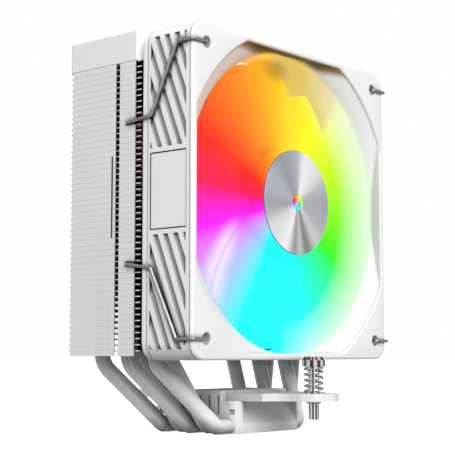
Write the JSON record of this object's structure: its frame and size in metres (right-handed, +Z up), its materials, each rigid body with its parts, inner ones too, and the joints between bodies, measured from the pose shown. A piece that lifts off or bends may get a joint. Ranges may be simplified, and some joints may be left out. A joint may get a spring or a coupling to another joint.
{
  "type": "cpu tower cooler",
  "caption": "Single-tower CPU cooler: white folded fin stack on U-shaped heat pipes, slotted cold-plate base with captive spring screws, and a lit 120 mm fan held by wire clips.",
  "frame": {"origin": "centre of the cold plate's contact face", "axes": "+Z up the tower from the contact face; -Y is the fan side; X is across the fins"},
  "size_m": [0.1272, 0.097, 0.1474],
  "materials": {
    "nickel_white": "satin milled and plated",
    "bracket_steel": "satin plated",
    "screw_steel": "bright nickel plate",
    "pipe_white": "white powder coat",
    "fin_white": "thin white coat",
    "white_plastic": "fine satin",
    "panel_white": "satin",
    "pad_rubber": "matt",
    "bearing_bronze": "sintered",
    "lamination_steel": "plain",
    "copper_wire": "enamelled copper",
    "circuit_board": "solder resist",
    "light_lens": "clear lens",
    "lead_sleeve": "soft sleeve",
    "blade_frosted": "frosted, lit from the hub",
    "spun_aluminium": "spun",
    "magnet": "bonded magnet",
    "clip_steel": "dark nickel wire"
  },
  "bodies": {
    "cooler": {"base_block": "nickel_white", "base_cap": "nickel_white", "mounting_bracket_front": "bracket_steel", "mounting_bracket_rear": "bracket_steel", "bracket_screws": "screw_steel", "heat_pipe_1": "pipe_white", "heat_pipe_2": "pipe_white", "heat_pipe_3": "pipe_white", "heat_pipe_4": "pipe_white", "heat_pipe_5": "pipe_white", "fin_stack": "fin_white", "top_cover": "white_plastic", "fan_frame": "white_plastic", "side_panel_left": "panel_white", "side_panel_right": "panel_white", "nameplate_left": "panel_white", "nameplate_right": "panel_white", "vibration_pads": "pad_rubber", "bearing_sleeve": "bearing_bronze", "stator_core": "lamination_steel", "stator_coils": "copper_wire", "motor_board": "circuit_board", "light_board": "circuit_board", "light_chips": "light_lens", "fan_lead": "lead_sleeve", "lead_plug": "lead_sleeve", "lead_grommet": "pad_rubber", "screw_spring_front": "screw_steel", "screw_spring_rear": "screw_steel", "spring_washer_front": "screw_steel", "spring_washer_rear": "screw_steel"},
    "rotor": {"impeller": "blade_frosted", "hub_disc": "spun_aluminium", "hub_centre_cap": "spun_aluminium", "rotor_yoke": "lamination_steel", "magnet_ring": "magnet", "rotor_shaft": "screw_steel", "shaft_clip": "clip_steel"},
    "clip_left": {"fan_clip_left": "clip_steel"},
    "clip_right": {"fan_clip_right": "clip_steel"},
    "ring_front": {"retaining_ring_front": "clip_steel"},
    "screw_front": {"captive_screw_front": "screw_steel"},
    "ring_rear": {"retaining_ring_rear": "clip_steel"},
    "screw_rear": {"captive_screw_rear": "screw_steel"}
  },
  "joints": [
    {"name": "fan_spin", "type": "hinge", "parent": "cooler", "child": "rotor", "pos_m": [0, -0.02, 0.0874], "axis": [0, -1, 0], "continuous": true},
    {"name": "clip_left_unhook", "type": "slide", "parent": "cooler", "child": "clip_left", "axis": [0, -1, 0], "range_m": [0, 0.0045]},
    {"name": "clip_right_unhook", "type": "slide", "parent": "cooler", "child": "clip_right", "axis": [0, -1, 0], "range_m": [0, 0.0045]},
    {"name": "screw_front_press", "type": "slide", "parent": "cooler", "child": "ring_front", "axis": [0, 0, -1], "range_m": [0, 0.0042], "deforming": ["screw_spring_front"]},
    {"name": "screw_front_turn", "type": "hinge", "parent": "ring_front", "child": "screw_front", "pos_m": [0, -0.039, 0.02], "axis": [0, 0, 1], "continuous": true},
    {"name": "screw_rear_press", "type": "slide", "parent": "cooler", "child": "ring_rear", "axis": [0, 0, -1], "range_m": [0, 0.0042], "deforming": ["screw_spring_rear"]},
    {"name": "screw_rear_turn", "type": "hinge", "parent": "ring_rear", "child": "screw_rear", "pos_m": [0, 0.039, 0.02], "axis": [0, 0, 1], "continuous": true}
  ]
}
